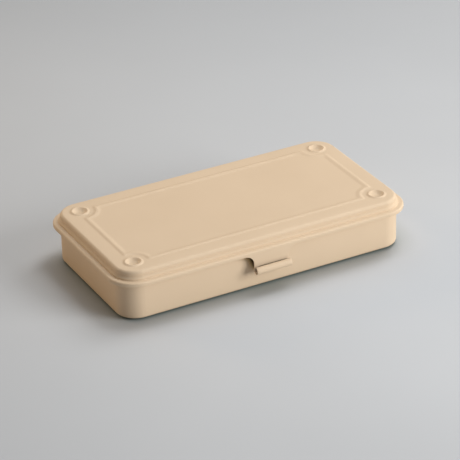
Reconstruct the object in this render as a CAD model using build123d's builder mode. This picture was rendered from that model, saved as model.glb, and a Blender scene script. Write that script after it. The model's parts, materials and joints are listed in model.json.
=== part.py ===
"""Sewing machine attachment box: a shallow pressed-steel tray with a hinged, snap-down lid.

Millimetres, +X to the right, +Y to the rear, +Z up. The origin is on the table, under the
middle of the whole box, tongue included.
"""
from build123d import *
import os
from math import acos, degrees, sqrt

os.makedirs("parts", exist_ok=True)

# ---------------------------------------------------------------- driving dimensions
LENGTH = 203.0            # lid, left to right over the skirt
DEPTH = 109.0             # lid, front to rear over the skirt
TRAY_HEIGHT = 25.7        # underside of the tray's floor to the crest of its rim
SHEET = 0.7               # steel of the tray and the lid
CLEARANCE = 0.3           # round faces that move past each other
PIN_CLEARANCE = 0.05      # pin or rivet in its hole, on the radius

# lid section, seen from the edge inwards
OVERHANG = 4.5            # skirt's outer face beyond the tray's wall
LID_CORNER = 18.0         # plan radius of the skirt
SKIRT_DROP = 2.5          # brim's top face down to the skirt's lower edge
BRIM_EDGE = 1.2           # rounding from the skirt to the brim
LEDGE_INSET = 4.2         # skirt's outer face to the small ledge
LEDGE_RISE = 1.5
LEDGE_FOOT = 0.5          # rounding where the ledge meets the brim
CROWN_INSET = 5.1         # skirt's outer face to the crown's wall
CROWN_RISE = 5.6          # brim's top face up to the lid's flat top
CROWN_EDGE = 2.8
CROWN_LAND = 1.0          # flat that belongs to the pressed edge, inside its rounding

# stacking seats in the lid, and the pressed bead that joins them
SEAT_INSET = 17.2         # seats' and feet's centres from the skirt's outer face
SEAT_RING = 4.8           # radius of the ring's crest
RING_HEIGHT = 0.6
RING_FLANK = 1.8          # crest out to the lid's flat top
DISH_DEPTH = 1.4          # middle of the seat below the lid's flat top
NOTCH_RADIUS = 11.0       # bead's quarter circle round each seat
BEAD_WIDTH = 4.4
BEAD_HEIGHT = 0.4

# tray
FLOOR_EDGE = 1.8          # rounding from the wall to the floor
RIM_RADIUS = 1.5          # rolled rim, outside
FOOT_HEIGHT = 1.2
FOOT_RADIUS = 4.4
FOOT_FLAT = 2.4
FOOT_FLANK = 1.2          # run of the foot's slope

# tongue in the middle of the front skirt
TONGUE_WIDTH = 24.0
TONGUE_DROP = 12.4        # skirt's lower edge down to the bottom of the curl
TONGUE_FILLET = 6.0
CURL_RADIUS = 2.4
CURL_TURN = 272.0         # degrees of roll
FLEX_HEIGHT = 1.0         # line in the skirt about which the tongue flexes, above its edge
FLEX_MARGIN = 0.3         # skirt taken with the tongue beyond each fillet

# keeper behind the tongue
KEEPER_WIDTH = 19.0
KEEPER_HEIGHT = 8.0
KEEPER_CORNER = 1.5
KEEPER_DROP = 3.2         # skirt's lower edge down to the keeper's upper edge
PIP_LENGTH = 9.5
PIP_WIDTH = 5.6
PIP_TAPER = 24.0          # degrees
PIP_ROUND = 0.7
KEEPER_RIVET_SPACING = 14.4

# hinges
HINGE_SPACING = 120.0
LID_KNUCKLE_WIDTH = 14.0
BRACKET_KNUCKLE_WIDTH = 8.0
KNUCKLE_GAP = 0.3         # between the ends of the knuckles
KNUCKLE_SLOT = 0.15       # between a rolled edge and the sheet that it comes back to
LID_TAB_FILLET = 1.5
BRACKET_DROP = 13.0       # hinge axis down to the bracket's lower edge
BRACKET_CORNER = 3.0
BRACKET_RIVET_SPACING = 19.0
BRACKET_RIVET_DROP = 8.8
PIN_HEAD_LIP = 0.65       # head beyond the pin, all round
PIN_HEAD = 0.8
PIN_HEAD_CHAMFER = 0.3

# rivets
RIVET_RADIUS = 0.9
RIVET_HEAD_RADIUS = 1.6
RIVET_HEAD = 0.8
RIVET_HEAD_CHAMFER = 0.4
RIVET_TAIL = 0.5

# ---------------------------------------------------------------- worked-out sizes
TRAY_LENGTH = LENGTH - 2 * OVERHANG
TRAY_DEPTH = DEPTH - 2 * OVERHANG
TRAY_CORNER = LID_CORNER - OVERHANG
RIM_TOP_Z = FOOT_HEIGHT + TRAY_HEIGHT
RIM_Z = RIM_TOP_Z - RIM_RADIUS
RIM_OFFSET = RIM_RADIUS - SHEET                        # rim's centre beyond the tray's wall
BRIM_Z = RIM_TOP_Z + CLEARANCE + SHEET
LEDGE_Z = BRIM_Z + LEDGE_RISE
LID_TOP_Z = BRIM_Z + CROWN_RISE
SKIRT_Z = BRIM_Z - SKIRT_DROP
CROWN_FLAT_INSET = CROWN_INSET + CROWN_EDGE + CROWN_LAND
SEAT_X = LENGTH / 2 - SEAT_INSET
SEAT_Y = DEPTH / 2 - SEAT_INSET

CURL_Z = SKIRT_Z - TONGUE_DROP + CURL_RADIUS
CURL_OFFSET = SHEET - CURL_RADIUS                      # curl's centre, from the skirt's outer face
FLEX_Z = SKIRT_Z + FLEX_HEIGHT
FLEX_WIDTH = TONGUE_WIDTH + 2 * (TONGUE_FILLET + FLEX_MARGIN)

BRACKET_SHEET = SHEET + CLEARANCE
BORE_RADIUS = (OVERHANG - SHEET - BRACKET_SHEET) / 2
LID_KNUCKLE = BORE_RADIUS + SHEET
BRACKET_KNUCKLE = BORE_RADIUS + BRACKET_SHEET
PIN_RADIUS = BORE_RADIUS - PIN_CLEARANCE
PIN_HEAD_RADIUS = PIN_RADIUS + PIN_HEAD_LIP
AXIS_Y = TRAY_DEPTH / 2 + BRACKET_KNUCKLE
AXIS_BELOW_RIM = sqrt((RIM_RADIUS + BRACKET_KNUCKLE + CLEARANCE) ** 2
                      - (BRACKET_KNUCKLE - RIM_OFFSET) ** 2)
AXIS_Z = RIM_Z - AXIS_BELOW_RIM
BRACKET_WIDTH = LID_KNUCKLE_WIDTH + 2 * (KNUCKLE_GAP + BRACKET_KNUCKLE_WIDTH)
KEEPER_Z = SKIRT_Z - KEEPER_DROP - KEEPER_HEIGHT / 2
PIP_HEIGHT = OVERHANG - 2 * SHEET - CLEARANCE

FRONT_REACH = DEPTH / 2 - SHEET + 2 * CURL_RADIUS      # tray's middle to the front of the curl
REAR_REACH = AXIS_Y + BRACKET_KNUCKLE                  # and to the back of the hinges
MIDDLE_Y = (FRONT_REACH - REAR_REACH) / 2              # tray's middle, from the origin


# ---------------------------------------------------------------- planes and shared forms
def level(z):
    """A horizontal plane over the tray's middle, facing up."""
    return Plane((0, MIDDLE_Y, z))


def section(x):
    """An upright plane across the box, facing right: its own x is depth and its y is height."""
    return Plane(origin=(x, MIDDLE_Y, 0), x_dir=(0, 1, 0), z_dir=(1, 0, 0))


def facing_rear(depth):
    """An upright plane at this depth, facing the rear: its own x runs to the left."""
    return Plane(origin=(0, MIDDLE_Y + depth, 0), x_dir=(-1, 0, 0), z_dir=(0, 1, 0))


def facing_front(depth):
    """An upright plane at this depth, facing the front: its own x runs to the right."""
    return Plane(origin=(0, MIDDLE_Y + depth, 0), x_dir=(1, 0, 0), z_dir=(0, -1, 0))


def right_half_path(length, depth, corner, z):
    """The right half of a rounded rectangle at height z, from the front middle to the rear."""
    with BuildLine(level(z)) as path:
        FilletPolyline(
            (0, -depth / 2),
            (length / 2, -depth / 2),
            (length / 2, depth / 2),
            (0, depth / 2),
            radius=corner,
        )
    return path.wire()


def rolled_edge(plane, centre, radius, sheet, start, turn):
    """A sketch of a sheet's edge rolled round a circle, from start and through turn degrees."""
    with BuildSketch(plane) as roll:
        with BuildLine():
            outside = CenterArc(centre, radius, start, turn)
            inside = CenterArc(centre, radius - sheet, start, turn)
            Line(outside @ 0, inside @ 0)
            Line(outside @ 1, inside @ 1)
        make_face()
    return roll.sketch


def knuckle_turn(radius, sheet):
    """Degrees that a knuckle rolls before it comes back to its own sheet."""
    return 360 - degrees(acos((radius - sheet - KNUCKLE_SLOT) / radius))


def turned(plane, outline):
    """Revolves (radius, height) corners about the plane's normal."""
    half_section = Plane(origin=plane.origin, x_dir=plane.x_dir, z_dir=-plane.y_dir)
    with BuildSketch(half_section) as profile:
        with BuildLine():
            Polyline(outline, close=True)
        make_face()
    revolve(profile.sketch, axis=Axis(plane.origin, plane.z_dir))


def rivet_at(plane, grip):
    """A low-headed rivet: plane is under its head, facing out, and grip is what it holds."""
    tail = -grip - RIVET_TAIL
    turned(
        plane,
        [
            (0, RIVET_HEAD),
            (RIVET_HEAD_RADIUS - RIVET_HEAD_CHAMFER, RIVET_HEAD),
            (RIVET_HEAD_RADIUS, RIVET_HEAD - RIVET_HEAD_CHAMFER),
            (RIVET_HEAD_RADIUS, 0),
            (RIVET_RADIUS, 0),
            (RIVET_RADIUS, -grip),
            (RIVET_HEAD_RADIUS, -grip),
            (RIVET_HEAD_RADIUS, tail),
            (0, tail),
        ],
    )


def place(plane, x, y):
    """The same plane with its origin moved to this point of it."""
    return Plane(origin=plane.from_local_coords((x, y, 0)), x_dir=plane.x_dir, z_dir=plane.z_dir)


KEEPER_FACE = facing_front(-TRAY_DEPTH / 2 - SHEET)
KEEPER_RIVETS = {
    "left": place(KEEPER_FACE, -KEEPER_RIVET_SPACING / 2, KEEPER_Z),
    "right": place(KEEPER_FACE, KEEPER_RIVET_SPACING / 2, KEEPER_Z),
}
BRACKET_FACE = facing_rear(TRAY_DEPTH / 2 + BRACKET_SHEET)
HINGES = {"left": -HINGE_SPACING / 2, "right": HINGE_SPACING / 2}
BRACKET_RIVETS = {
    f"{side}_{end}": place(
        BRACKET_FACE, -x - step * BRACKET_RIVET_SPACING / 2, AXIS_Z - BRACKET_RIVET_DROP
    )
    for side, x in HINGES.items()
    for end, step in (("outer", 1 if x > 0 else -1), ("inner", -1 if x > 0 else 1))
}


# ---------------------------------------------------------------- tray
def foot_section():
    """Half section of a pressed foot, from its axis out to the flat floor round it."""
    land = FOOT_FLAT + FOOT_FLANK
    return [
        (0, -FOOT_HEIGHT),
        (FOOT_FLAT, -FOOT_HEIGHT),
        (land, 0),
        (FOOT_RADIUS, 0),
        (FOOT_RADIUS, SHEET),
        (land - SHEET / 2, SHEET),
        (FOOT_FLAT - SHEET / 2, SHEET - FOOT_HEIGHT),
        (0, SHEET - FOOT_HEIGHT),
    ]


with BuildPart() as base_tray:
    with BuildSketch(level(FOOT_HEIGHT)):
        RectangleRounded(TRAY_LENGTH, TRAY_DEPTH, TRAY_CORNER)
    extrude(amount=RIM_Z - FOOT_HEIGHT)
    fillet(base_tray.faces().sort_by(Axis.Z)[0].edges(), FLOOR_EDGE)
    offset(amount=-SHEET, openings=base_tray.faces().sort_by(Axis.Z)[-1])
    # the rim, rolled outwards
    inner_length = TRAY_LENGTH - 2 * SHEET
    inner_depth = TRAY_DEPTH - 2 * SHEET
    rim_path = right_half_path(inner_length, inner_depth, TRAY_CORNER - SHEET, RIM_Z)
    rim_turn = knuckle_turn(RIM_RADIUS, SHEET)
    rim_centre = (-inner_depth / 2 - RIM_RADIUS, RIM_Z)
    rim = rolled_edge(section(0), rim_centre, RIM_RADIUS, SHEET, 0, rim_turn)
    sweep(rim, path=rim_path)
    mirror(about=Plane.YZ)
    # feet pressed out of the floor
    seats = [(x, y) for x in (-SEAT_X, SEAT_X) for y in (-SEAT_Y, SEAT_Y)]
    with BuildSketch(level(FOOT_HEIGHT)):
        with Locations(seats):
            Circle(FOOT_RADIUS)
    extrude(amount=SHEET, mode=Mode.SUBTRACT)
    for x, y in seats:
        turned(place(level(FOOT_HEIGHT), x, y), foot_section())
    # rivet holes for the keeper and the hinge brackets
    for hole in (*KEEPER_RIVETS.values(), *BRACKET_RIVETS.values()):
        with BuildSketch(hole):
            Circle(RIVET_RADIUS + PIN_CLEARANCE)
        extrude(amount=-BRACKET_SHEET - 2 * SHEET, mode=Mode.SUBTRACT)
base_tray.part.label = "base_tray"
export_step(base_tray.part, "parts/base_tray.step")


# ---------------------------------------------------------------- lid
def lid_section():
    """The pressed edge of the lid: (inset, height) corners down its outside and back inside."""
    inside_ledge = LEDGE_INSET + SHEET
    inside_crown = CROWN_INSET + SHEET
    corners = [
        (CROWN_FLAT_INSET, LID_TOP_Z, 0),
        (CROWN_INSET, LID_TOP_Z, CROWN_EDGE),
        (CROWN_INSET, LEDGE_Z, 0),
        (LEDGE_INSET, LEDGE_Z, 0),
        (LEDGE_INSET, BRIM_Z, LEDGE_FOOT),
        (0, BRIM_Z, BRIM_EDGE),
        (0, SKIRT_Z, 0),
        (SHEET, SKIRT_Z, 0),
        (SHEET, BRIM_Z - SHEET, max(BRIM_EDGE - SHEET, 0)),
        (inside_ledge, BRIM_Z - SHEET, 0),
        (inside_ledge, LEDGE_Z - SHEET, 0),
        (inside_crown, LEDGE_Z - SHEET, 0),
        (inside_crown, LID_TOP_Z - SHEET, CROWN_EDGE - SHEET),
        (CROWN_FLAT_INSET, LID_TOP_Z - SHEET, 0),
    ]
    return [(inset - DEPTH / 2, z) for inset, z, _ in corners], [turn for _, _, turn in corners]


def bead_path(z):
    """The right half of the bead: straight runs with a quarter circle cut in round each seat."""
    with BuildLine(level(z)) as path:
        Line((0, -SEAT_Y), (SEAT_X - NOTCH_RADIUS, -SEAT_Y))
        CenterArc((SEAT_X, -SEAT_Y), NOTCH_RADIUS, 180, -90)
        Line((SEAT_X, -SEAT_Y + NOTCH_RADIUS), (SEAT_X, SEAT_Y - NOTCH_RADIUS))
        CenterArc((SEAT_X, SEAT_Y), NOTCH_RADIUS, 270, -90)
        Line((SEAT_X - NOTCH_RADIUS, SEAT_Y), (0, SEAT_Y))
    return path.wire()


def bead_section(skin, floor):
    """The part above floor of the bead's circle, a skin's depth under the lid's surface."""
    radius = (BEAD_WIDTH ** 2 / 4 + BEAD_HEIGHT ** 2) / (2 * BEAD_HEIGHT)
    with BuildSketch(section(0)) as bead:
        with Locations((-SEAT_Y, LID_TOP_Z + BEAD_HEIGHT - radius)):
            Circle(radius - skin)
        with Locations((-SEAT_Y, floor)):
            Rectangle(2 * radius, 2 * radius, align=(Align.CENTER, Align.MAX), mode=Mode.SUBTRACT)
    return bead.sketch


def seat_section():
    """Half section of a seat: a raised ring round a dish, one sheet thick."""
    def surface(z):
        return Spline(
            (0, z - DISH_DEPTH),
            (SEAT_RING, z + RING_HEIGHT),
            (SEAT_RING + RING_FLANK, z),
            tangents=[(1, 0), (1, 0), (1, 0)],
        )

    with BuildSketch() as seat:
        with BuildLine():
            top = surface(LID_TOP_Z)
            under = surface(LID_TOP_Z - SHEET)
            Line(top @ 0, under @ 0)
            Line(top @ 1, under @ 1)
        make_face()
    return seat.sketch


def lid_knuckle(x):
    """A tab of the rear skirt, x from the middle, rolled forwards round the hinge pin."""
    root = LID_KNUCKLE_WIDTH / 2 + 2 * LID_TAB_FILLET
    tab_outline = [
        (-root, SKIRT_Z + SHEET),
        (-root, SKIRT_Z),
        (-LID_KNUCKLE_WIDTH / 2, SKIRT_Z),
        (-LID_KNUCKLE_WIDTH / 2, AXIS_Z),
    ]
    outline = tab_outline + [(-u, z) for u, z in reversed(tab_outline)]
    tab_plane = place(facing_rear(DEPTH / 2), -x, 0)
    with BuildSketch(tab_plane) as tab:
        with BuildLine():
            FilletPolyline(
                outline, radius=[0, 0, LID_TAB_FILLET, 0, 0, LID_TAB_FILLET, 0, 0], close=True
            )
        make_face()
    extrude(tab.sketch, amount=-SHEET)
    start_plane = section(x - LID_KNUCKLE_WIDTH / 2)
    turn = knuckle_turn(LID_KNUCKLE, SHEET)
    knuckle = rolled_edge(start_plane, (AXIS_Y, AXIS_Z), LID_KNUCKLE, SHEET, 0, -turn)
    extrude(knuckle, amount=LID_KNUCKLE_WIDTH)


with BuildPart() as lid_shell:
    with BuildSketch(section(0)) as edge:
        with BuildLine():
            corners, rounds = lid_section()
            FilletPolyline(corners, radius=rounds, close=True)
        make_face()
    sweep(edge.sketch, path=right_half_path(LENGTH, DEPTH, LID_CORNER, SKIRT_Z))
    mirror(about=Plane.YZ)
    with BuildSketch(level(LID_TOP_Z - SHEET)):
        RectangleRounded(
            LENGTH - 2 * CROWN_FLAT_INSET,
            DEPTH - 2 * CROWN_FLAT_INSET,
            LID_CORNER - CROWN_FLAT_INSET,
        )
    extrude(amount=SHEET)
    # bead, raised on top and hollow underneath
    for skin, floor, way in (
        (0, LID_TOP_Z - SHEET / 2, Mode.ADD),
        (SHEET, LID_TOP_Z - 2 * SHEET, Mode.SUBTRACT),
    ):
        with BuildPart(mode=Mode.PRIVATE) as bead_form:
            sweep(bead_section(skin, floor), path=bead_path(LID_TOP_Z), transition=Transition.ROUND)
            mirror(about=Plane.YZ)
        add(bead_form.part, mode=way)
    # stacking seats
    seat = seat_section()
    with BuildSketch(level(LID_TOP_Z - SHEET)):
        with Locations(seats):
            Circle(SEAT_RING + RING_FLANK)
    extrude(amount=SHEET, mode=Mode.SUBTRACT)
    for x, y in seats:
        axis_plane = place(facing_front(y), x, 0)
        revolve(axis_plane * seat, axis=Axis(axis_plane.origin, (0, 0, 1)))
    # the skirt's rear tabs, and the cut-out where the tongue takes over
    for x in HINGES.values():
        lid_knuckle(x)
    with BuildSketch(facing_front(-DEPTH / 2)):
        with Locations((0, SKIRT_Z)):
            Rectangle(FLEX_WIDTH, FLEX_HEIGHT, align=(Align.CENTER, Align.MIN))
    extrude(amount=-SHEET, mode=Mode.SUBTRACT)
lid_shell.part.label = "lid_shell"
export_step(lid_shell.part, "parts/lid_shell.step")


with BuildPart() as latch_tongue:
    half_outline = [
        (-FLEX_WIDTH / 2, FLEX_Z),
        (-FLEX_WIDTH / 2, SKIRT_Z),
        (-TONGUE_WIDTH / 2, SKIRT_Z),
        (-TONGUE_WIDTH / 2, CURL_Z),
    ]
    with BuildSketch(facing_front(-DEPTH / 2)):
        with BuildLine():
            FilletPolyline(
                half_outline + [(-u, z) for u, z in reversed(half_outline)],
                radius=[0, 0, TONGUE_FILLET, 0, 0, TONGUE_FILLET, 0, 0],
                close=True,
            )
        make_face()
    extrude(amount=-SHEET)
    # the finger curl, rolled outwards
    curl_centre = (-DEPTH / 2 + CURL_OFFSET, CURL_Z)
    curl = rolled_edge(
        section(-TONGUE_WIDTH / 2), curl_centre, CURL_RADIUS, SHEET, 0, -CURL_TURN
    )
    extrude(curl, amount=TONGUE_WIDTH)
latch_tongue.part.label = "latch_tongue"
export_step(latch_tongue.part, "parts/latch_tongue.step")


# ---------------------------------------------------------------- keeper
with BuildPart() as latch_keeper:
    wall = facing_front(-TRAY_DEPTH / 2)
    with BuildSketch(wall):
        with Locations((0, KEEPER_Z)):
            RectangleRounded(KEEPER_WIDTH, KEEPER_HEIGHT, KEEPER_CORNER)
    extrude(amount=SHEET)
    with BuildSketch(KEEPER_FACE):
        with Locations((0, KEEPER_Z)):
            SlotOverall(PIP_LENGTH, PIP_WIDTH)
    extrude(amount=PIP_HEIGHT, taper=PIP_TAPER)
    fillet(latch_keeper.faces().sort_by(Axis.Y)[0].edges(), PIP_ROUND)
    for hole in KEEPER_RIVETS.values():
        with BuildSketch(hole):
            Circle(RIVET_RADIUS + PIN_CLEARANCE)
        extrude(amount=-SHEET, mode=Mode.SUBTRACT)
latch_keeper.part.label = "latch_keeper"
export_step(latch_keeper.part, "parts/latch_keeper.step")

for side, rivet_plane in KEEPER_RIVETS.items():
    with BuildPart() as keeper_rivet:
        rivet_at(rivet_plane, 2 * SHEET)
    keeper_rivet.part.label = f"keeper_rivet_{side}"
    export_step(keeper_rivet.part, f"parts/keeper_rivet_{side}.step")


# ---------------------------------------------------------------- hinges
def bracket_outline():
    """Half of a bracket's plate, from the middle of its lower edge up to the knuckle's gap."""
    return [
        (0, AXIS_Z - BRACKET_DROP),
        (BRACKET_WIDTH / 2, AXIS_Z - BRACKET_DROP),
        (BRACKET_WIDTH / 2, AXIS_Z),
        (BRACKET_WIDTH / 2 - BRACKET_KNUCKLE_WIDTH, AXIS_Z),
        (BRACKET_WIDTH / 2 - BRACKET_KNUCKLE_WIDTH, AXIS_Z - BRACKET_KNUCKLE - CLEARANCE),
        (0, AXIS_Z - BRACKET_KNUCKLE - CLEARANCE),
    ]


for side, hinge_x in HINGES.items():
    with BuildPart() as hinge_bracket:
        with BuildSketch(place(facing_rear(TRAY_DEPTH / 2), -hinge_x, 0)):
            with BuildLine():
                FilletPolyline(
                    bracket_outline(), radius=[0, BRACKET_CORNER, 0, 0, 0, 0], close=True
                )
            make_face()
            mirror(about=Plane.YZ)
        extrude(amount=BRACKET_SHEET)
        turn = knuckle_turn(BRACKET_KNUCKLE, BRACKET_SHEET)
        for end in (-1, 1):
            offset_x = end * (BRACKET_WIDTH - BRACKET_KNUCKLE_WIDTH) / 2
            knuckle_plane = section(hinge_x + offset_x - BRACKET_KNUCKLE_WIDTH / 2)
            knuckle = rolled_edge(
                knuckle_plane, (AXIS_Y, AXIS_Z), BRACKET_KNUCKLE, BRACKET_SHEET, 180, -turn
            )
            extrude(knuckle, amount=BRACKET_KNUCKLE_WIDTH)
        for name, hole in BRACKET_RIVETS.items():
            if name.startswith(side):
                with BuildSketch(hole):
                    Circle(RIVET_RADIUS + PIN_CLEARANCE)
                extrude(amount=-BRACKET_SHEET, mode=Mode.SUBTRACT)
    hinge_bracket.part.label = f"hinge_bracket_{side}"
    export_step(hinge_bracket.part, f"parts/hinge_bracket_{side}.step")

    with BuildPart() as hinge_pin:
        half_pin = [
            (0, BRACKET_WIDTH / 2 + PIN_HEAD),
            (PIN_HEAD_RADIUS - PIN_HEAD_CHAMFER, BRACKET_WIDTH / 2 + PIN_HEAD),
            (PIN_HEAD_RADIUS, BRACKET_WIDTH / 2 + PIN_HEAD - PIN_HEAD_CHAMFER),
            (PIN_HEAD_RADIUS, BRACKET_WIDTH / 2),
            (PIN_RADIUS, BRACKET_WIDTH / 2),
        ]
        turned(
            Plane(
                origin=(hinge_x, MIDDLE_Y + AXIS_Y, AXIS_Z), x_dir=(0, 1, 0), z_dir=(1, 0, 0)
            ),
            half_pin + [(r, -along) for r, along in reversed(half_pin)],
        )
    hinge_pin.part.label = f"hinge_pin_{side}"
    export_step(hinge_pin.part, f"parts/hinge_pin_{side}.step")

for name, rivet_plane in BRACKET_RIVETS.items():
    with BuildPart() as hinge_rivet:
        rivet_at(rivet_plane, BRACKET_SHEET + SHEET)
    hinge_rivet.part.label = f"hinge_rivet_{name}"
    export_step(hinge_rivet.part, f"parts/hinge_rivet_{name}.step")
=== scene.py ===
"""Looks of the sewing machine attachment box: painted pressed steel on a pale studio floor.

The lid is worked out in millimetres and becomes metres where its vertices are made. Everything
else is in metres, and angles are in degrees.
"""
import json
from collections import namedtuple
from math import acos, atan2, cos, degrees, pi, radians, sin, sqrt, tan

import bmesh
import bpy
from mathutils import Matrix, Vector
from mathutils.geometry import delaunay_2d_cdt


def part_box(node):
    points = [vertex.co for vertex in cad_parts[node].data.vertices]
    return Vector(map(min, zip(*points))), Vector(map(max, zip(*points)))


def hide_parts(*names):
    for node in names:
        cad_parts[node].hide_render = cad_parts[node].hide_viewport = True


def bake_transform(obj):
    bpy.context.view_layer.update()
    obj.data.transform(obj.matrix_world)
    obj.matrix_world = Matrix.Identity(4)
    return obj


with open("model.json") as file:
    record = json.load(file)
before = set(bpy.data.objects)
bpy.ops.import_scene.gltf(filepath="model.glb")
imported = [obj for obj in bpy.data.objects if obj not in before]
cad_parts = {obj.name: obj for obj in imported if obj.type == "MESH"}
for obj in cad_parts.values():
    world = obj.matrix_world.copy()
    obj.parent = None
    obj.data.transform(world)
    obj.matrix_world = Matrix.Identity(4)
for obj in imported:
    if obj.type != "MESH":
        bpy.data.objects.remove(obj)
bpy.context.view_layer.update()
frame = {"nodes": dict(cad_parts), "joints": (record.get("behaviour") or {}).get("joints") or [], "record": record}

MM = 0.001


def millimetres(length):
    """A length in the frame as millimetres, to the thousandth that the box is drawn to."""
    return round(length / MM, 3)


# ---------------------------------------------------------------- sizes of the lid, in millimetres
# the seats' rings are 0.6 high and the tongue's curl has a radius of 2.4, each less what the packed
# model's facets leave off, so that the lid stays inside that model's box

# the skirt's outline; its middle stands behind the origin, and y is counted from that middle
lid_low, lid_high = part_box("lid_shell")
LENGTH = millimetres(lid_high.x - lid_low.x)
DEPTH = millimetres(lid_high.y - lid_low.y)
MIDDLE_Y = millimetres((lid_low.y + lid_high.y) / 2)
LID_CORNER = 18.0
SHEET = 0.7

# section from the skirt's lower edge to the flat top; insets are counted from the skirt's face
SKIRT_Z = 25.4
BRIM_Z = 27.9
BRIM_EDGE = 1.2
LEDGE_INSET = 3.5
LEDGE_Z = 28.9
LEDGE_TOP_Z = 30.0
LEDGE_EDGE = 0.15
LEDGE_FOOT = 0.5
CROWN_INSET = 4.7
CROWN_EDGE = 2.0
CROWN_FLAT = CROWN_INSET + CROWN_EDGE
LID_TOP_Z = 33.5

# stacking seats: a raised ring round a dish, which deepens as (1 - (r / ring) ** flat) ** power
# and is closed by a fan of the middle radius
SEAT_X = 84.3
SEAT_Y = 37.3
SEAT_RING = 4.8
RING_HEIGHT = 0.598
RING_OUTER = 1.8
DISH_DEPTH = 1.0
DISH_FLAT = 3
DISH_POWER = 1.5
DISH_MIDDLE = 0.4

# bead: a raised rectangle with a quarter circle cut in round each seat
BEAD_X = 84.7
BEAD_Y = 37.7
BEAD_OUTER = 2.2
BEAD_INNER = 3.0
BEAD_HEIGHT = 0.4
NOTCH_RADIUS = 11.0

# level band kept round the bead and each seat
LEVEL_BAND = 0.35

# latch tongue in the middle of the front skirt, with its end curled outwards
TONGUE_WIDTH = 24.0
TONGUE_FILLET = 6.0
CURL_RADIUS = 2.397
CURL_Z = 15.4
CURL_TURN = 272.0

# hinge tabs in the rear skirt, rolled forwards round the pins until the sheet nearly meets itself
pin_low, pin_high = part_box("hinge_pin_right")
_, axis_y, axis_z = next(j["pos_m"] for j in frame["joints"] if j["name"] == "lid_hinge")
HINGE_X = millimetres((pin_low.x + pin_high.x) / 2)
AXIS_Y = millimetres(axis_y - MIDDLE_Y * MM)
AXIS_Z = millimetres(axis_z)
TAB_FILLET = 1.5
KNUCKLE_WIDTH = 14.0
KNUCKLE_RADIUS = 2.1
KNUCKLE_SLOT = 0.15
KNUCKLE_TURN = 360 - degrees(acos((KNUCKLE_RADIUS - SHEET - KNUCKLE_SLOT) / KNUCKLE_RADIUS))

# softening of the sheet's sharp edges
EDGE_ROUNDING = 0.12
EDGE_SEGMENTS = 2
EDGE_ANGLE = 60

# degrees to a step on a profile's corners, and the steps that each other stretch is cut into
PROFILE_STEP = 9.0
CORNER_STEPS = 28
SIDE_STEPS = 8
FRONT_STEPS = 8
REAR_END_STEPS = 3
REAR_MIDDLE_STEPS = 5
TONGUE_STEPS = 8
TONGUE_FILLET_STEPS = 8
TAB_STEPS = 4
TAB_FILLET_STEPS = 5
ROOT_STEPS = 6
STRAIGHT_STEPS = 2
ROLL_STEPS = 36
BEAD_OUTER_STEPS = 7
BEAD_INNER_STEPS = 8
BEAD_FRONT_STEPS = 12
BEAD_SIDE_STEPS = 6
BEAD_CORNER_STEPS = 6
NOTCH_STEPS = 24
RING_STEPS = 8
DISH_STEPS = 16
SEAT_TURN_STEPS = 64

# closeness at which two places count as one: in a flat fill and between columns, in millimetres,
# and in the finished mesh, in metres
SAME_PLACE = 1e-5
SAME_COLUMN = 1e-6
WELD = 1e-6
COLLAPSE = 1e-7


# ---------------------------------------------------------------- mesh helpers
def rounded(corners):
    """Points along (u, v, radius) corners, each corner turned through its radius."""
    points = [corners[0][:2]]
    for before, here, after in zip(corners, corners[1:], corners[2:]):
        radius = here[2]
        corner = Vector(here[:2])
        back = (Vector(before[:2]) - corner).normalized()
        ahead = (Vector(after[:2]) - corner).normalized()
        half = back.angle(ahead) / 2
        reach = radius / tan(half)
        centre = corner + (back + ahead).normalized() * (radius / sin(half))
        start = corner + back * reach - centre
        sweep = start.angle_signed(corner + ahead * reach - centre)
        count = max(2, int(abs(degrees(sweep)) / PROFILE_STEP + 0.5))
        for k in range(count + 1):
            turned = start.copy()
            turned.rotate(Matrix.Rotation(-sweep * k / count, 2))
            points.append(tuple(centre + turned))
    points.append(corners[-1][:2])
    return points


def evenly(start, end, count):
    """Values from start to end in count equal steps, with both ends."""
    return [start + (end - start) * k / count for k in range(count + 1)]


def metres(x, y, z):
    return (x * MM, (y + MIDDLE_Y) * MM, z * MM)


def row_of(mesh, points):
    return [mesh.verts.new(metres(*point)) for point in points]


def join_rows(mesh, first, second, closed=False):
    """Quads between two rows of the same length."""
    count = len(first)
    for k in range(count if closed else count - 1):
        after = (k + 1) % count
        mesh.faces.new((first[k], first[after], second[after], second[k]))


def join_all(mesh, rows, closed=False):
    for first, second in zip(rows, rows[1:]):
        join_rows(mesh, first, second, closed)


def inside(point, outline):
    """True where a line from the point towards +x crosses the outline an odd number of times."""
    hit = False
    for a, b in zip(outline, outline[1:] + outline[:1]):
        if (a.y > point.y) != (b.y > point.y):
            if point.x < (b.x - a.x) * (point.y - a.y) / (b.y - a.y) + a.x:
                hit = not hit
    return hit


def fill_flat(mesh, loops):
    """Flat triangles inside the first loop of vertices and outside the others."""
    flat = [vert for loop in loops for vert in loop]
    outlines = [[vert.co.xy / MM for vert in loop] for loop in loops]
    edges = []
    for loop in loops:
        start = len(edges)
        edges += [(start + k, start + (k + 1) % len(loop)) for k in range(len(loop))]
    places = [point for outline in outlines for point in outline]
    points, _, triangles, origins, _, _ = delaunay_2d_cdt(places, edges, [], 0, SAME_PLACE)
    for triangle in triangles:
        middle = (points[triangle[0]] + points[triangle[1]] + points[triangle[2]]) / 3
        if inside(middle, outlines[0]) and not any(inside(middle, o) for o in outlines[1:]):
            mesh.faces.new([flat[origins[k][0]] for k in triangle])


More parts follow.
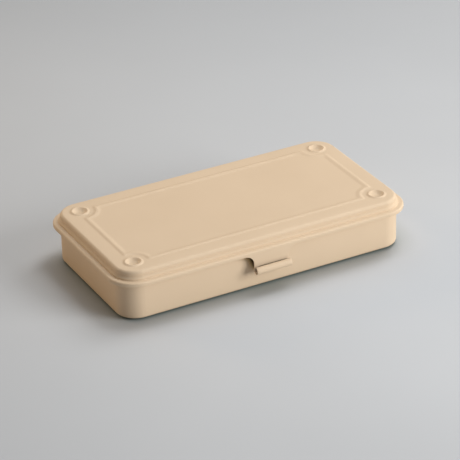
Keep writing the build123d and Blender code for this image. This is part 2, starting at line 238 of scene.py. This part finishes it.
# ---------------------------------------------------------------- lid: skirt, ledge and crown
def outer_profile():
    """The outer face as (inset, height), from the flat top out and down to the skirt's edge."""
    return rounded([
        (CROWN_FLAT, LID_TOP_Z, 0),
        (CROWN_INSET, LID_TOP_Z, CROWN_EDGE),
        (CROWN_INSET, LEDGE_TOP_Z, LEDGE_EDGE),
        (LEDGE_INSET, LEDGE_Z, LEDGE_EDGE),
        (LEDGE_INSET, BRIM_Z, LEDGE_FOOT),
        (0, BRIM_Z, BRIM_EDGE),
        (0, SKIRT_Z, 0),
    ])


def inner_profile():
    """The inner face as (inset, height), from the skirt's edge up and in to the flat top."""
    return rounded([
        (SHEET, SKIRT_Z, 0),
        (SHEET, BRIM_Z - SHEET, BRIM_EDGE - SHEET),
        (LEDGE_INSET + SHEET, BRIM_Z - SHEET, LEDGE_EDGE),
        (LEDGE_INSET + SHEET, LEDGE_Z - SHEET / 2, LEDGE_EDGE),
        (CROWN_INSET + SHEET, LEDGE_TOP_Z - SHEET / 2, LEDGE_EDGE),
        (CROWN_INSET + SHEET, LID_TOP_Z - SHEET, CROWN_EDGE - SHEET),
        (CROWN_FLAT, LID_TOP_Z - SHEET, 0),
    ])


def half_columns(edge, fillet, fillet_steps, steps):
    """Distances from a leaf's middle: over its root fillet from the foot in, then to the middle."""
    foot = [edge + fillet * (1 - sin(radians(90 * k / fillet_steps)))
            for k in range(fillet_steps + 1)]
    return foot + evenly(edge, 0, steps)[1:]


def stations():
    """(anchor, way) round the lid from its front left: a point lies LID_CORNER - inset along way."""
    core_x = LENGTH / 2 - LID_CORNER
    core_y = DEPTH / 2 - LID_CORNER
    tongue = half_columns(TONGUE_WIDTH / 2, TONGUE_FILLET, TONGUE_FILLET_STEPS, TONGUE_STEPS)
    front_half = evenly(core_x, tongue[0], FRONT_STEPS)[:-1] + tongue
    front = [-u for u in front_half] + front_half[-2::-1]
    half_tab = half_columns(KNUCKLE_WIDTH / 2, TAB_FILLET, TAB_FILLET_STEPS, TAB_STEPS)
    tab = [HINGE_X + u for u in half_tab] + [HINGE_X - u for u in half_tab[-2::-1]]
    rear_half = evenly(core_x, tab[0], REAR_END_STEPS)[:-1] + tab
    rear_half += evenly(tab[-1], 0, REAR_MIDDLE_STEPS)[1:]
    rear = rear_half + [-u for u in rear_half[-2::-1]]
    side = evenly(-core_y, core_y, SIDE_STEPS)
    arc = [radians(90 * k / CORNER_STEPS) for k in range(1, CORNER_STEPS)]
    ring = [((x, -core_y), (0, -1)) for x in front]
    ring += [((core_x, -core_y), (sin(t), -cos(t))) for t in arc]
    ring += [((core_x, y), (1, 0)) for y in side]
    ring += [((core_x, core_y), (cos(t), sin(t))) for t in arc]
    ring += [((x, core_y), (0, 1)) for x in rear]
    ring += [((-core_x, core_y), (-sin(t), cos(t))) for t in arc]
    ring += [((-core_x, -y), (-1, 0)) for y in side]
    ring += [((-core_x, -core_y), (-cos(t), -sin(t))) for t in arc]
    return ring


def ring_at(inset, z, ring):
    reach = LID_CORNER - inset
    return [(a[0] + w[0] * reach, a[1] + w[1] * reach, z) for a, w in ring]


# ---------------------------------------------------------------- lid: flat top, bead and seats
def bead_height(d):
    """Height of the bead over the flat top at d inwards from its line; its outer side is steeper."""
    side = BEAD_INNER if d > 0 else BEAD_OUTER
    return BEAD_HEIGHT * (0.5 + 0.5 * cos(pi * min(abs(d) / side, 1)))


def bead_quarter(d):
    """One quarter of the bead's line, moved d inwards: front middle to right middle.

    Where a notch meets the rectangle, a line moved inwards keeps a sharp corner and a line moved
    outwards has an arc. Both have as many points, and those of a sharp corner coincide.
    """
    radius = NOTCH_RADIUS + d
    front_y = -BEAD_Y + d
    right_x = BEAD_X - d
    if d > 0:
        lean = atan2(d, sqrt(radius ** 2 - d ** 2))
        meet_x = BEAD_X - radius * cos(lean)
        meet_y = -BEAD_Y + radius * cos(lean)
        front_corner = [(meet_x, front_y)] * BEAD_CORNER_STEPS
        right_corner = [(right_x, meet_y)] * BEAD_CORNER_STEPS
    else:
        lean = 0.0
        meet_x = BEAD_X - NOTCH_RADIUS
        meet_y = -BEAD_Y + NOTCH_RADIUS
        turn = evenly(0, pi / 2, BEAD_CORNER_STEPS)[1:]
        front_corner = [(meet_x - d * sin(t), -BEAD_Y + d * cos(t)) for t in turn]
        right_corner = [(BEAD_X - d * sin(t), meet_y + d * cos(t)) for t in turn]
    front = [(x, front_y) for x in evenly(0, meet_x, BEAD_FRONT_STEPS)]
    notch = [(BEAD_X + radius * cos(t), -BEAD_Y + radius * sin(t))
             for t in evenly(pi - lean, pi / 2 + lean, NOTCH_STEPS)[1:]]
    right = [(right_x, y) for y in evenly(meet_y, 0, BEAD_SIDE_STEPS)[1:]]
    return front + front_corner + notch + right_corner + right


def around(quarter):
    """A closed loop from the front right quarter, mirrored into all four."""
    right = quarter + [(x, -y) for x, y in quarter[-2::-1]]
    return right[:-1] + [(-x, y) for x, y in right[::-1]][:-1]


def seat_height(r):
    """Height of a stacking seat over the lid's flat top at r from its axis."""
    if r >= SEAT_RING:
        s = min((r - SEAT_RING) / RING_OUTER, 1)
        return RING_HEIGHT * (0.5 + 0.5 * cos(pi * s))
    dish = (1 - (r / SEAT_RING) ** DISH_FLAT) ** DISH_POWER
    return RING_HEIGHT - (RING_HEIGHT + DISH_DEPTH) * dish


def seat(mesh, x, y, z):
    """One stacking seat on a face at height z; returns its outermost row."""
    reach = SEAT_RING + RING_OUTER
    radii = [reach + LEVEL_BAND] + evenly(reach, SEAT_RING, RING_STEPS)
    radii += evenly(SEAT_RING, DISH_MIDDLE, DISH_STEPS)[1:]
    turn = [2 * pi * k / SEAT_TURN_STEPS for k in range(SEAT_TURN_STEPS)]
    rings = [row_of(mesh, [(x + r * cos(t), y + r * sin(t), z + seat_height(r)) for t in turn])
             for r in radii]
    join_all(mesh, rings, closed=True)
    middle = row_of(mesh, [(x, y, z + seat_height(0))])[0]
    last = rings[-1]
    for k in range(SEAT_TURN_STEPS):
        mesh.faces.new((last[k], last[(k + 1) % SEAT_TURN_STEPS], middle))
    return rings[0]


def top_face(mesh, edge_row, z):
    """One face of the flat top with its bead and seats, inside a row of vertices at height z."""
    offsets = [-BEAD_OUTER - LEVEL_BAND] + evenly(-BEAD_OUTER, 0, BEAD_OUTER_STEPS)
    offsets += evenly(0, BEAD_INNER, BEAD_INNER_STEPS)[1:] + [BEAD_INNER + LEVEL_BAND]
    bead = [row_of(mesh, [(x, y, z + bead_height(d)) for x, y in around(bead_quarter(d))])
            for d in offsets]
    join_all(mesh, bead, closed=True)
    fill_flat(mesh, [bead[-1]])
    holes = [bead[0]]
    for x in (-SEAT_X, SEAT_X):
        for y in (-SEAT_Y, SEAT_Y):
            holes.append(seat(mesh, x, y, z))
    fill_flat(mesh, [edge_row] + holes)


# ---------------------------------------------------------------- lid: tongue and hinge tabs
# a leaf hangs from the skirt on the side that way points to: its middle in x, half its width, its
# root fillet, its two faces in y, and the axis and signed turn of its rolled end
Leaf = namedtuple("Leaf", "way middle half fillet outer_y inner_y roll_y roll_z turn")

TONGUE = Leaf(way=(0, -1), middle=0.0, half=TONGUE_WIDTH / 2, fillet=TONGUE_FILLET,
              outer_y=-DEPTH / 2, inner_y=-DEPTH / 2 + SHEET,
              roll_y=-DEPTH / 2 + SHEET - CURL_RADIUS, roll_z=CURL_Z, turn=-CURL_TURN)
TABS = [Leaf(way=(0, 1), middle=x, half=KNUCKLE_WIDTH / 2, fillet=TAB_FILLET,
             outer_y=DEPTH / 2, inner_y=DEPTH / 2 - SHEET,
             roll_y=AXIS_Y, roll_z=AXIS_Z, turn=-KNUCKLE_TURN) for x in (-HINGE_X, HINGE_X)]


def root_height(leaf, u):
    """Height where the root ends at u from the leaf's middle: its foot, or the fillet beside it."""
    foot_z = SKIRT_Z - leaf.fillet
    if abs(u) <= leaf.half + SAME_COLUMN:
        return foot_z
    rise = leaf.fillet ** 2 - (leaf.half + leaf.fillet - abs(u)) ** 2
    return foot_z + sqrt(max(rise, 0.0))


def root_face(mesh, leaf, top, y, offsets):
    """One face of the root at y, below a row of the skirt; returns its lowest row."""
    rows = [top]
    for s in range(1, ROOT_STEPS + 1):
        rows.append(row_of(mesh, [
            (leaf.middle + u, y, SKIRT_Z + (root_height(leaf, u) - SKIRT_Z) * s / ROOT_STEPS)
            for u in offsets]))
    join_all(mesh, rows)
    return rows[-1]


def rolled_face(mesh, leaf, top, y, offsets):
    """One face of the leaf at y, from its root straight down and round its roll; returns its rows."""
    rows = [top]
    for z in evenly(SKIRT_Z - leaf.fillet, leaf.roll_z, STRAIGHT_STEPS)[1:]:
        rows.append(row_of(mesh, [(leaf.middle + u, y, z) for u in offsets]))
    radius = abs(y - leaf.roll_y)
    for k in range(1, ROLL_STEPS + 1):
        t = radians(leaf.turn * k / ROLL_STEPS)
        rows.append(row_of(mesh, [
            (leaf.middle + u, leaf.roll_y + radius * cos(t), leaf.roll_z + radius * sin(t))
            for u in offsets]))
    join_all(mesh, rows)
    return rows


def hang(mesh, leaf, outer_top, inner_top, offsets):
    """A leaf below its stretch of the skirt: both faces, its sides and the edge of its rolled end."""
    outer_root = root_face(mesh, leaf, outer_top, leaf.outer_y, offsets)
    inner_root = root_face(mesh, leaf, inner_top, leaf.inner_y, offsets)
    for k in range(len(offsets) - 1):
        if max(abs(offsets[k]), abs(offsets[k + 1])) > leaf.half + SAME_COLUMN:
            mesh.faces.new((outer_root[k], outer_root[k + 1], inner_root[k + 1], inner_root[k]))
    kept = [k for k, u in enumerate(offsets) if abs(u) <= leaf.half + SAME_COLUMN]
    across = [offsets[k] for k in kept]
    outer = rolled_face(mesh, leaf, [outer_root[k] for k in kept], leaf.outer_y, across)
    inner = rolled_face(mesh, leaf, [inner_root[k] for k in kept], leaf.inner_y, across)
    for end in (0, -1):
        join_rows(mesh, [row[end] for row in outer], [row[end] for row in inner])
    join_rows(mesh, outer[-1], inner[-1])


def columns_of(leaf, ring):
    """The stations that a leaf hangs from, with its root fillets."""
    reach = leaf.half + leaf.fillet + SAME_COLUMN
    return [k for k, (anchor, way) in enumerate(ring)
            if way == leaf.way and abs(anchor[0] - leaf.middle) <= reach]


def hem(mesh, outer_row, inner_row, ring):
    """The skirt's lower edge, with the tongue in front and the two hinge tabs behind."""
    leaves = [(leaf, columns_of(leaf, ring)) for leaf in [TONGUE] + TABS]
    taken = {k for _, columns in leaves for k in columns[:-1]}
    for k in range(len(ring)):
        if k not in taken:
            after = (k + 1) % len(ring)
            mesh.faces.new((outer_row[k], outer_row[after], inner_row[after], inner_row[k]))
    for leaf, columns in leaves:
        hang(mesh, leaf, [outer_row[k] for k in columns], [inner_row[k] for k in columns],
             [ring[k][0][0] - leaf.middle for k in columns])


def softened(made):
    """The object with its sharp edges rounded in its own mesh."""
    soften = made.modifiers.new("edge_rounding", "BEVEL")
    soften.width = EDGE_ROUNDING * MM
    soften.segments = EDGE_SEGMENTS
    soften.limit_method = "ANGLE"
    soften.angle_limit = radians(EDGE_ANGLE)
    shaped = bpy.data.meshes.new_from_object(
        made.evaluated_get(bpy.context.evaluated_depsgraph_get()))
    made.modifiers.clear()
    made.data = shaped
    return made


def lid_pressing():
    """The whole lid with its tongue and tabs, as one closed sheet."""
    mesh = bmesh.new()
    ring = stations()
    outer = [row_of(mesh, ring_at(inset, z, ring)) for inset, z in outer_profile()]
    inner = [row_of(mesh, ring_at(inset, z, ring)) for inset, z in inner_profile()]
    join_all(mesh, outer, closed=True)
    join_all(mesh, inner, closed=True)
    top_face(mesh, outer[0], LID_TOP_Z)
    top_face(mesh, inner[-1], LID_TOP_Z - SHEET)
    hem(mesh, outer[-1], inner[0], ring)
    bmesh.ops.remove_doubles(mesh, verts=mesh.verts, dist=WELD)
    bmesh.ops.dissolve_degenerate(mesh, edges=mesh.edges, dist=COLLAPSE)
    bmesh.ops.recalc_face_normals(mesh, faces=mesh.faces)
    data = bpy.data.meshes.new("lid_pressing")
    mesh.to_mesh(data)
    mesh.free()
    made = bpy.data.objects.new("lid_pressing", data)
    bpy.context.collection.objects.link(made)
    data.shade_smooth()
    return softened(made)


lid = lid_pressing()
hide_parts("lid_shell", "latch_tongue")
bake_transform(lid)


# ---------------------------------------------------------------- material helpers
# where nearly all of a noise's values lie, the whole of a mix, and the rays of a shade
NOISE_SPAN = (0.3, 0.7)
WHOLE = (0, 1)
SHADE_SAMPLES = 24


def material(name):
    """A new node material, its node tree and its Principled shader."""
    made = bpy.data.materials.new(name)
    made.use_nodes = True
    return made, made.node_tree, made.node_tree.nodes["Principled BSDF"]


def put(tree, target, value):
    """Links an output to a socket, or sets the socket's own number or colour."""
    if isinstance(value, bpy.types.NodeSocket):
        tree.links.new(value, target)
    else:
        target.default_value = value


def add(tree, kind, sockets, **settings):
    made = tree.nodes.new(kind)
    for name, value in settings.items():
        setattr(made, name, value)
    for name, value in sockets.items():
        put(tree, made.inputs[name], value)
    return made


def own_place(tree, stretch=(1, 1, 1)):
    """The surface's place on its own piece, in metres, stretched for grain and scratches."""
    where = add(tree, "ShaderNodeTexCoord", {}).outputs["Object"]
    return add(tree, "ShaderNodeMapping", {"Vector": where, "Scale": stretch}).outputs["Vector"]


def noise(tree, place, scale, detail):
    made = add(tree, "ShaderNodeTexNoise", {"Vector": place, "Scale": scale, "Detail": detail})
    return made.outputs["Fac"]


def ranged(tree, value, source, target):
    """The value carried from one (low, high) range to another and held inside it."""
    made = add(tree, "ShaderNodeMapRange", {
        "Value": value, "From Min": source[0], "From Max": source[1],
        "To Min": target[0], "To Max": target[1]})
    return made.outputs["Result"]


def mixed(tree, amount, first, second, way="MIX"):
    """A colour mix; amount, first and second are colours, numbers or outputs."""
    made = tree.nodes.new("ShaderNodeMix")
    made.data_type = "RGBA"
    made.blend_type = way
    sockets = {socket.identifier: socket for socket in made.inputs}
    put(tree, sockets["Factor_Float"], amount)
    put(tree, sockets["A_Color"], first)
    put(tree, sockets["B_Color"], second)
    return {socket.identifier: socket for socket in made.outputs}["Result_Color"]


def bump(tree, height, strength, distance, under=None):
    """A normal raised by a height, over another normal where one is given."""
    sockets = {"Height": height, "Strength": strength, "Distance": distance}
    if under is not None:
        sockets["Normal"] = under
    return add(tree, "ShaderNodeBump", sockets).outputs["Normal"]


def worked(tree, operation, *values):
    """What a sum node gives for the values."""
    made = add(tree, "ShaderNodeMath", dict(enumerate(values)), operation=operation)
    return made.outputs["Value"]


def closed_in(tree, reach, openness, most, alone=False):
    """How far a spot is shut in, by all that stands within reach of it or by its own piece alone.

    It is the most where the spot is no more open than the first value, and 0 from the second on.
    """
    made = add(tree, "ShaderNodeAmbientOcclusion", {"Distance": reach},
               samples=SHADE_SAMPLES, only_local=alone)
    return ranged(tree, made.outputs["AO"], openness, (most, 0))


# ---------------------------------------------------------------- paint
PAINT_DARK = (0.682, 0.522, 0.358, 1)
PAINT_LIGHT = (0.703, 0.541, 0.374, 1)
PAINT_ROUGHNESS = (0.56, 0.64)
PAINT_SPECULAR = 0.3

# specks and scuffs show at the peaks of a noise, and cover the paint no further than their mix
SPECK_PEAKS = (0.66, 0.78)
SPECK_MIX = (0, 0.22)
SPECK_COLOUR = (0.60, 0.43, 0.275, 1)
SCUFF_PEAKS = (0.66, 0.74)
SCUFF_MIX = (0, 0.16)
SCUFF_COLOUR = (0.80, 0.63, 0.45, 1)

# painted shade darkening the paint in a piece's own folds
SHADE_REACH = 8 * MM
SHADE_MOST = 0.96
FOLD_SHADE_OPENNESS = (0.2, 0.42)
FOLD_SHADE_COLOUR = (0.10, 0.058, 0.02, 1)

# painted shade on the tray's wall behind either side of the tongue, golden and darkest in the gap:
# the middle of the right one, and how far both reach each way
TONGUE_SHADE_MIDDLE = (15.3 * MM, -49.7 * MM, 17.9 * MM)
TONGUE_SHADE_REACH = (5.4 * MM, 2.0 * MM, 4.9 * MM)
# golden painted shade where the wall is partly shut in
GOLDEN_SHADE_OPENNESS = (0.60, 0.80)
GOLDEN_SHADE_COLOUR = (0.60, 0.41, 0.18, 1)
# near-black painted shadow where the wall is most shut in
DARK_SHADE_OPENNESS = (0.42, 0.66)
DARK_SHADE_COLOUR = (0.03, 0.012, 0.001, 1)


def by_tongue(tree, place):
    """1 on the tray's wall behind either side of the latch tongue, where the painted shade goes, 0 elsewhere."""
    at = add(tree, "ShaderNodeSeparateXYZ", {"Vector": place}).outputs
    aside = worked(tree, "ABSOLUTE", at["X"])
    mask = 1.0
    for value, middle, reach in zip((aside, at["Y"], at["Z"]), TONGUE_SHADE_MIDDLE, TONGUE_SHADE_REACH):
        mask = worked(tree, "MULTIPLY", worked(tree, "COMPARE", value, middle, reach), mask)
    return mask


def weathered_and_shaded(tree, place, colour):
    """The colour with specks and scuffs, painted shade in the folds, and golden and dark painted shade by the
    tongue.
    """
    speck = ranged(tree, noise(tree, place, scale=1500.0, detail=3.0), SPECK_PEAKS, SPECK_MIX)
    colour = mixed(tree, speck, colour, SPECK_COLOUR)
    scratches = noise(tree, own_place(tree, stretch=(1, 6, 6)), scale=90.0, detail=8.0)
    colour = mixed(tree, ranged(tree, scratches, SCUFF_PEAKS, SCUFF_MIX), colour, SCUFF_COLOUR)
    # painted shade in the piece's own folds
    fold_shade = closed_in(tree, SHADE_REACH, FOLD_SHADE_OPENNESS, SHADE_MOST, alone=True)
    colour = mixed(tree, fold_shade, colour, FOLD_SHADE_COLOUR)
    # painted shade beside the tongue: golden, and near black where it is most shut in
    tongue_sides = by_tongue(tree, place)
    golden_shade = closed_in(tree, SHADE_REACH, GOLDEN_SHADE_OPENNESS, 1)
    colour = mixed(tree, worked(tree, "MULTIPLY", golden_shade, tongue_sides), colour, GOLDEN_SHADE_COLOUR)
    dark_shade = closed_in(tree, SHADE_REACH, DARK_SHADE_OPENNESS, SHADE_MOST)
    return mixed(tree, worked(tree, "MULTIPLY", dark_shade, tongue_sides), colour, DARK_SHADE_COLOUR)


def paint():
    """Satin baked enamel: faint clouding and orange peel under a little wear, with painted shade in its folds and
    by the tongue.
    """
    made, tree, shader = material("sand_paint")
    place = own_place(tree)
    cloud = ranged(tree, noise(tree, place, scale=26.0, detail=3.0), NOISE_SPAN, WHOLE)
    colour = weathered_and_shaded(tree, place, mixed(tree, cloud, PAINT_DARK, PAINT_LIGHT))
    put(tree, shader.inputs["Base Color"], colour)
    gloss = ranged(tree, noise(tree, place, scale=110.0, detail=4.0), NOISE_SPAN, PAINT_ROUGHNESS)
    put(tree, shader.inputs["Roughness"], gloss)
    shader.inputs["Specular IOR Level"].default_value = PAINT_SPECULAR
    waves = noise(tree, place, scale=60.0, detail=1.0)
    peel = noise(tree, place, scale=900.0, detail=2.0)
    normal = bump(tree, waves, strength=0.12, distance=0.2 * MM)
    normal = bump(tree, peel, strength=0.1, distance=0.05 * MM, under=normal)
    put(tree, shader.inputs["Normal"], normal)
    return made


# ---------------------------------------------------------------- zinc plate
ZINC_DARK = (0.47, 0.46, 0.43, 1)
ZINC_LIGHT = (0.62, 0.61, 0.58, 1)
ZINC_ROUGHNESS = (0.3, 0.48)
SPOT_PEAKS = (0.62, 0.7)
SPOT_MIX = (0, 0.5)
SPOT_COLOUR = (0.2, 0.18, 0.15, 1)


def plated():
    """Dull zinc plate, brushed along the pin, with small dark spots."""
    made, tree, shader = material("plated_steel")
    place = own_place(tree)
    tone = ranged(tree, noise(tree, place, scale=300.0, detail=4.0), NOISE_SPAN, WHOLE)
    colour = mixed(tree, tone, ZINC_DARK, ZINC_LIGHT)
    spot = ranged(tree, noise(tree, place, scale=1200.0, detail=3.0), SPOT_PEAKS, SPOT_MIX)
    put(tree, shader.inputs["Base Color"], mixed(tree, spot, colour, SPOT_COLOUR))
    shader.inputs["Metallic"].default_value = 1.0
    grain = noise(tree, own_place(tree, stretch=(0.05, 1, 1)), scale=3000.0, detail=3.0)
    put(tree, shader.inputs["Roughness"], ranged(tree, grain, NOISE_SPAN, ZINC_ROUGHNESS))
    put(tree, shader.inputs["Normal"], bump(tree, grain, strength=0.2, distance=0.03 * MM))
    return made


finish_of = {"sand_paint": paint(), "plated_steel": plated()}
lid.data.materials.append(finish_of["sand_paint"])
slot_of = {part["node"]: part["material_slot"] for part in frame["record"]["subparts"]}
for name, node in frame["nodes"].items():
    node.data.materials.clear()
    node.data.materials.append(finish_of[slot_of[name]])


# ---------------------------------------------------------------- floor
FLOOR_HALF = 6.0
FLOOR_ROUGHNESS = 0.9
CLOUD_DARK = (0.98, 0.98, 0.98, 1)
CLOUD_LIGHT = (1.02, 1.02, 1.02, 1)

# painted pool of light: palest in front of the box, a little to its right, falling off evenly all round
PAINTED_LIGHT_MIDDLE = (0.06, -0.18, 0)
PAINTED_LIGHT_REACH = 0.65
FLOOR_NEAR = (0.592, 0.611, 0.632, 1)
FLOOR_FAR = (0.448, 0.454, 0.460, 1)

# painted contact shadow: the floor darkens where the box shuts it in
CONTACT_REACH = 24 * MM
CONTACT_OPENNESS = (0.0, 0.9)
CONTACT_SHADE = (0.28, 0.36, 0.31, 1)


def card():
    """Pale matt card with faint clouding and a fine tooth, a painted pool of light and a painted contact shadow.
    """
    made, tree, shader = material("floor_card")
    place = own_place(tree)
    cloud = ranged(tree, noise(tree, place, scale=5.0, detail=3.0), NOISE_SPAN, WHOLE)
    colour = mixed(tree, cloud, CLOUD_DARK, CLOUD_LIGHT)
    # painted pool of light on the floor
    away = add(tree, "ShaderNodeVectorMath", {0: place, 1: PAINTED_LIGHT_MIDDLE}, operation="DISTANCE")
    fall = ranged(tree, away.outputs["Value"], (0, PAINTED_LIGHT_REACH), WHOLE)
    colour = mixed(tree, 1.0, colour, mixed(tree, fall, FLOOR_NEAR, FLOOR_FAR), "MULTIPLY")
    # painted contact shadow
    contact_shadow = closed_in(tree, CONTACT_REACH, CONTACT_OPENNESS, 1)
    put(tree, shader.inputs["Base Color"], mixed(tree, contact_shadow, colour, CONTACT_SHADE, "MULTIPLY"))
    shader.inputs["Roughness"].default_value = FLOOR_ROUGHNESS
    tooth = noise(tree, place, scale=700.0, detail=3.0)
    put(tree, shader.inputs["Normal"], bump(tree, tooth, strength=0.1, distance=0.1 * MM))
    return made


def floor():
    half = FLOOR_HALF
    mesh = bpy.data.meshes.new("floor")
    mesh.from_pydata([(-half, -half, 0), (half, -half, 0), (half, half, 0), (-half, half, 0)],
                     [], [(0, 1, 2, 3)])
    mesh.materials.append(card())
    made = bpy.data.objects.new("floor", mesh)
    bpy.context.collection.objects.link(made)


floor()


# ---------------------------------------------------------------- camera
CAMERA_AZIMUTH = -27.51
CAMERA_ELEVATION = 28.28
CAMERA_ROLL = -1.66
CAMERA_DISTANCE = 1.47872
CAMERA_TARGET = Vector((-0.00556, -0.00962, 0.0212))
CAMERA_CLIP_END = 20.0

# the lens and the sensor's width are in millimetres
CAMERA_LENS = 187.50
CAMERA_SENSOR = 36.0


def towards(azimuth, elevation):
    """The way from the box to what stands at these angles; azimuth 0 is in front of it."""
    a = radians(azimuth)
    e = radians(elevation)
    return Vector((sin(a) * cos(e), -cos(a) * cos(e), sin(e)))


def camera():
    back = towards(CAMERA_AZIMUTH, CAMERA_ELEVATION)
    level = Vector((cos(radians(CAMERA_AZIMUTH)), sin(radians(CAMERA_AZIMUTH)), 0))
    upright = back.cross(level)
    roll = radians(CAMERA_ROLL)
    right = cos(roll) * level + sin(roll) * upright
    up = -sin(roll) * level + cos(roll) * upright
    data = bpy.data.cameras.new("camera")
    data.lens = CAMERA_LENS
    data.sensor_width = CAMERA_SENSOR
    data.sensor_fit = "HORIZONTAL"
    data.clip_end = CAMERA_CLIP_END
    made = bpy.data.objects.new("camera", data)
    bpy.context.collection.objects.link(made)
    made.matrix_world = Matrix.Translation(CAMERA_TARGET + back * CAMERA_DISTANCE) @ Matrix(
        (right, up, back)).transposed().to_4x4()
    bpy.context.scene.camera = made


camera()


# ---------------------------------------------------------------- light
# round soft lamps that face the origin; beam is the angle that a lamp's light keeps to
WHITE = (1, 1, 1)
WIDE = 180
Lamp = namedtuple("Lamp", "name azimuth elevation distance size watts beam colour",
                  defaults=(WIDE, WHITE))
LAMPS = (
    Lamp("front", azimuth=40, elevation=18, distance=1.8, size=1.15, watts=29.2),
    Lamp("side", azimuth=110, elevation=47, distance=1.2, size=0.5, watts=3.2),
    Lamp("top", azimuth=100, elevation=70, distance=1.2, size=0.5, watts=3.5),
    Lamp("rear", azimuth=160, elevation=60, distance=1.5, size=1.6, watts=4.8),
    Lamp("fill", azimuth=-150, elevation=18, distance=1.2, size=0.5, watts=0.25,
         beam=45, colour=(1, 0.72, 0.4)),
    Lamp("glow", azimuth=-115, elevation=6, distance=1.5, size=0.3, watts=0.07,
         beam=40, colour=(1, 0.5, 0.05)),
)
WORLD_COLOUR = (1, 1, 1, 1)
WORLD_STRENGTH = 0.178


def light(lamp):
    way = towards(lamp.azimuth, lamp.elevation)
    data = bpy.data.lights.new(lamp.name, "AREA")
    data.shape = "DISK"
    data.size = lamp.size
    data.energy = lamp.watts
    data.color = lamp.colour
    data.spread = radians(lamp.beam)
    made = bpy.data.objects.new(lamp.name, data)
    bpy.context.collection.objects.link(made)
    made.location = way * lamp.distance
    made.rotation_mode = "QUATERNION"
    made.rotation_quaternion = (-way).to_track_quat("-Z", "Y")


def surroundings():
    """An even white light from all round."""
    world = bpy.data.worlds.new("studio")
    world.use_nodes = True
    background = world.node_tree.nodes["Background"].inputs
    background["Color"].default_value = WORLD_COLOUR
    background["Strength"].default_value = WORLD_STRENGTH
    bpy.context.scene.world = world


for lamp in LAMPS:
    light(lamp)
surroundings()
bpy.context.scene.view_settings.view_transform = "Standard"
